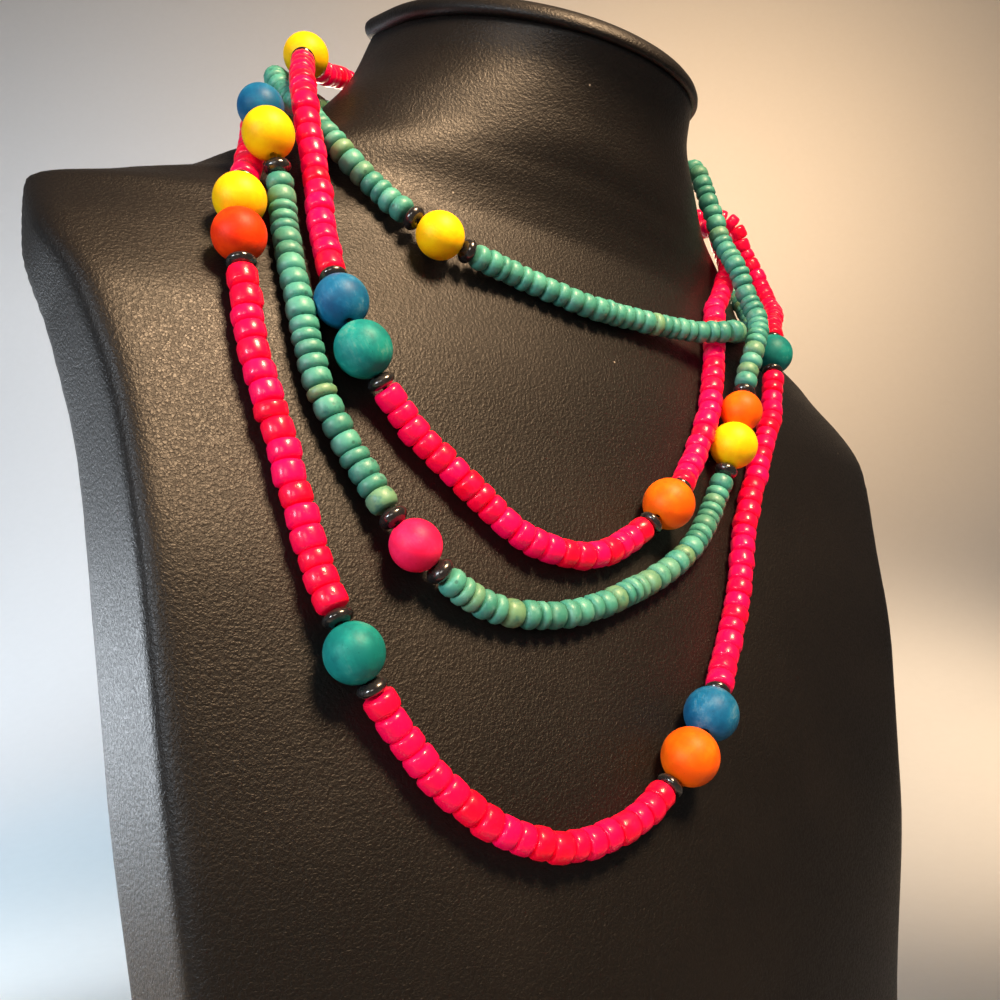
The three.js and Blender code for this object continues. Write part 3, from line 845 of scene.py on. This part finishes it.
# %% The paper sweep
def make_paper():
    finish = Finish("pale_paper", specular_ior_level=0.2)
    fleck = finish.noise(finish.place(), 90, 3)
    finish.shade(
        base_color=finish.blend(fleck, (0.85, 0.83, 0.80, 1), (0.88, 0.86, 0.83, 1)),
        roughness=0.85 + 0.1 * fleck,
    )
    return finish.material

curve_start, curve_radius, sweep_width, sweep_height = 0.45, 1.15, 8, 3.0
bm = bmesh.new()
corner = bm.verts.new((0, -2.5, -0.0005))
foot = bmesh.ops.extrude_vert_indiv(bm, verts=[corner])["verts"][0]
foot.co.y = curve_start
bmesh.ops.spin(bm, geom=[foot], cent=(0, curve_start, curve_radius), axis=(1, 0, 0),
               angle=math.pi / 2, steps=32)
top = max(bm.verts, key=lambda v: v.co.z)
bmesh.ops.extrude_vert_indiv(bm, verts=[top])["verts"][0].co.z = sweep_height
bmesh.ops.translate(bm, vec=(-sweep_width / 2, 0, 0), verts=bm.verts)
swept = bmesh.ops.extrude_edge_only(bm, edges=bm.edges[:])["geom"]
far_side = [v for v in swept if isinstance(v, bmesh.types.BMVert)]
bmesh.ops.translate(bm, vec=(sweep_width, 0, 0), verts=far_side)
bmesh.ops.rotate(bm, cent=(0, 0, 0), matrix=Matrix.Rotation(-camera_yaw, 3, "Z"), verts=bm.verts)
bmesh.ops.recalc_face_normals(bm, faces=bm.faces)
for face in bm.faces:
    face.smooth = True
sweep_mesh = bpy.data.meshes.new("paper_sweep")
bm.to_mesh(sweep_mesh)
bm.free()
sweep_mesh.materials.append(make_paper())
sweep = bpy.data.objects.new("paper_sweep", sweep_mesh)
bpy.context.collection.objects.link(sweep)
print("sweep of", len(sweep_mesh.polygons), "faces")

# %% The lamps
def hang(name, light, place, target, watts, colour):
    light.energy, light.color = watts, colour
    lamp = bpy.data.objects.new(name, light)
    lamp.location = place
    lamp.rotation_mode = "QUATERNION"
    lamp.rotation_quaternion = (Vector(target) - Vector(place)).to_track_quat("-Z", "Y")
    lamp.visible_camera = False
    bpy.context.collection.objects.link(lamp)

def soft_lamp(name, place, target, size, watts, colour):
    light = bpy.data.lights.new(name, "AREA")
    light.shape, light.size = "DISK", size
    hang(name, light, place, target, watts, colour)

def shaded_lamp(name, place, target, radius, beam, watts, colour):
    light = bpy.data.lights.new(name, "SPOT")
    light.shadow_soft_size, light.spot_size, light.spot_blend = radius, math.radians(beam), 1.0
    hang(name, light, place, target, watts, colour)

shoulder = (-0.06, -0.02, 0.26)
shaded_lamp("warm_overhead", (-0.05, -0.54, 0.70), (-0.04, -0.02, 0.26), 0.12, 40, 75, (1.0, 0.67, 0.39))
shaded_lamp("cool_window", (-1.0, -0.25, 0.26), (-0.08, -0.03, 0.20), 0.13, 32, 25, (0.84, 0.92, 1.0))
shaded_lamp("front_fill", (-0.80, -0.76, 0.32), shoulder, 0.25, 27, 19, (1.0, 0.90, 0.78))
soft_lamp("low_window", (-0.50, 0.80, 0.12), (-0.12, 0, 0.05), 0.30, 3.3, (0.84, 0.92, 1.0))
shaded_lamp("back_light", (0.45, 0.95, 0.75), (0.05, 0, 0.22), 0.25, 34, 30, (1.0, 0.80, 0.56))
soft_lamp("warm_wash", (0.8, 0.15, 1.25), (1.0, 1.2, 1.7), 0.5, 13.5, (1.0, 0.69, 0.41))
shaded_lamp("warm_floor", (1.0, 0.1, 0.9), (1.0, 0.45, 0.15), 0.2, 80, 30, (1.0, 0.75, 0.50))
shaded_lamp("cool_floor", (-0.5, 0.35, 0.70), (0.05, 0.80, 0.03), 0.12, 46, 32, (0.35, 0.70, 1.0))
shaded_lamp("cool_wash", (-0.6, 0.4, 0.30), (0.15, 1.85, 0.85), 0.12, 90, 98, (0.70, 0.84, 1.0))
world = bpy.data.worlds.new("soft_room")
world.use_nodes = True
world.node_tree.nodes["Background"].inputs["Color"].default_value = (0.86, 0.86, 0.88, 1)
world.node_tree.nodes["Background"].inputs["Strength"].default_value = 0.10
bpy.context.scene.world = world
print(len(bpy.data.lights), "lamps and a soft room")
